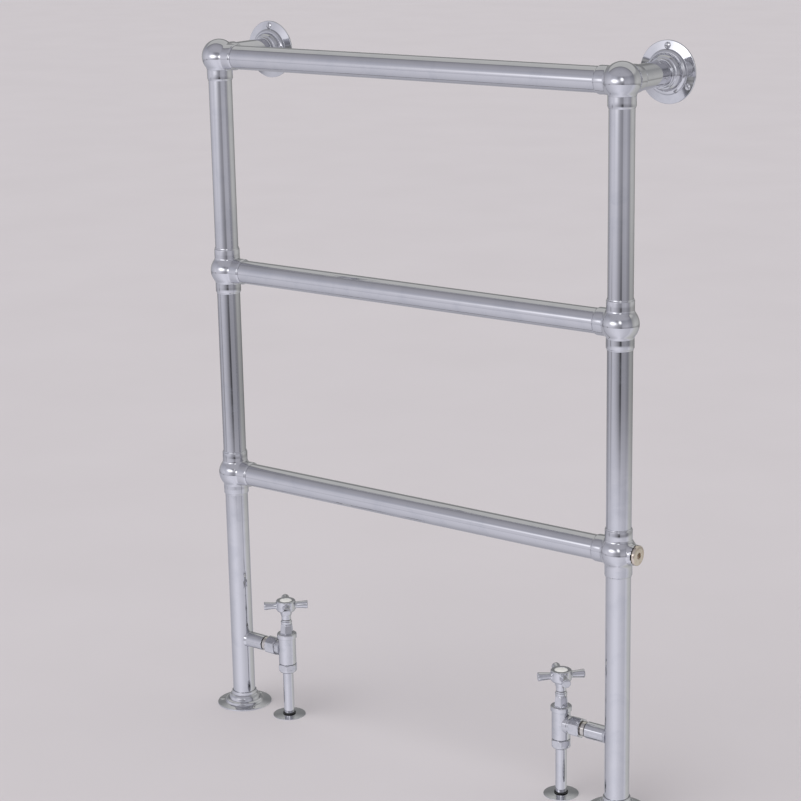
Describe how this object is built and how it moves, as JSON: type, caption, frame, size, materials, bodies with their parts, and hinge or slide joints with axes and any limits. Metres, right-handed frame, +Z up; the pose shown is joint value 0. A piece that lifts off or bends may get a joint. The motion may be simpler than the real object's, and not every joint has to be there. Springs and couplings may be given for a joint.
{
  "type": "heated towel rail with valves",
  "caption": "Chrome heated towel rail of tubes and ball joints, held to wall and floor by round flanges, fed by crosshead angle valves.",
  "frame": {"origin": "on the floor, at the middle of the bounding box's underside: midway between the legs, and midway between the front of the floor flanges and the tips of the wall screws", "axes": "+Z up, +X along the rails to the right as seen from the room, +Y towards the wall"},
  "size_m": [0.712, 0.159, 0.976],
  "materials": {
    "polished_chrome": "mirror-polished chrome plate on brass",
    "polished_nickel": "bright nickel plate, slightly warm",
    "black_rubber": "satin black moulded rubber",
    "white_ceramic": "gloss white glaze",
    "bare_brass": "machined brass",
    "white_packing": "PTFE packing"
  },
  "bodies": {
    "rail": {"air_vent_body": "polished_chrome", "blanking_plug": "polished_nickel", "bottom_left_ball_joint": "polished_chrome", "bottom_rail": "polished_chrome", "bottom_right_ball_joint": "polished_chrome", "compression_nuts": "polished_chrome", "floor_roses": "polished_chrome", "floor_screws": "polished_chrome", "gland_nuts": "polished_chrome", "gland_packings": "white_packing", "left_bonnet": "polished_chrome", "left_floor_flange": "polished_chrome", "left_leg": "polished_chrome", "left_supply_pipe": "polished_chrome", "left_union_tail": "polished_nickel", "left_valve_body": "polished_chrome", "left_valve_stub": "polished_chrome", "left_wall_flange": "polished_chrome", "left_wall_stay": "polished_chrome", "leg_blanks": "bare_brass", "lower_left_upright": "polished_chrome", "lower_right_upright": "polished_chrome", "middle_left_ball_joint": "polished_chrome", "middle_rail": "polished_chrome", "middle_right_ball_joint": "polished_chrome", "olives": "bare_brass", "plug_o_ring": "black_rubber", "right_bonnet": "polished_chrome", "right_floor_flange": "polished_chrome", "right_leg": "polished_chrome", "right_supply_pipe": "polished_chrome", "right_union_tail": "polished_nickel", "right_valve_body": "polished_chrome", "right_valve_stub": "polished_chrome", "right_wall_flange": "polished_chrome", "right_wall_stay": "polished_chrome", "rose_o_rings": "black_rubber", "tail_o_rings": "black_rubber", "top_left_ball_joint": "polished_chrome", "top_rail": "polished_chrome", "top_right_ball_joint": "polished_chrome", "union_nuts": "polished_chrome", "upper_left_upright": "polished_chrome", "upper_right_upright": "polished_chrome", "wall_screws": "polished_chrome"},
    "left_handle": {"left_crosshead_handle": "polished_chrome", "left_spindle": "bare_brass", "left_handle_screw": "bare_brass", "left_ceramic_button": "white_ceramic"},
    "left_plug": {"left_valve_plug": "bare_brass", "left_seat_washer": "black_rubber"},
    "right_handle": {"right_crosshead_handle": "polished_chrome", "right_spindle": "bare_brass", "right_handle_screw": "bare_brass", "right_ceramic_button": "white_ceramic"},
    "right_plug": {"right_valve_plug": "bare_brass", "right_seat_washer": "black_rubber"},
    "vent_screw": {"air_vent_screw": "polished_chrome"}
  },
  "joints": [
    {"name": "left_handle_turn", "type": "hinge", "parent": "rail", "child": "left_handle", "pos_m": [-0.232, -0.0405, 0.16], "axis": [0, 0, 1], "range_deg": [0, 1080]},
    {"name": "left_plug_lift", "type": "slide", "parent": "rail", "child": "left_plug", "axis": [0, 0, 1], "range_m": [0, 0.0045]},
    {"name": "right_handle_turn", "type": "hinge", "parent": "rail", "child": "right_handle", "pos_m": [0.232, -0.0405, 0.16], "axis": [0, 0, 1], "range_deg": [0, 1080]},
    {"name": "right_plug_lift", "type": "slide", "parent": "rail", "child": "right_plug", "axis": [0, 0, 1], "range_m": [0, 0.0045]},
    {"name": "vent_screw_turn", "type": "hinge", "parent": "rail", "child": "vent_screw", "pos_m": [0.239, -0.0405, 0.937], "axis": [0, 1, 0], "range_deg": [0, 360]}
  ],
  "couplings": [
    {"joint": "left_plug_lift", "follows": "left_handle_turn", "m_per_rad": 0.00023873},
    {"joint": "right_plug_lift", "follows": "right_handle_turn", "m_per_rad": 0.00023873}
  ]
}
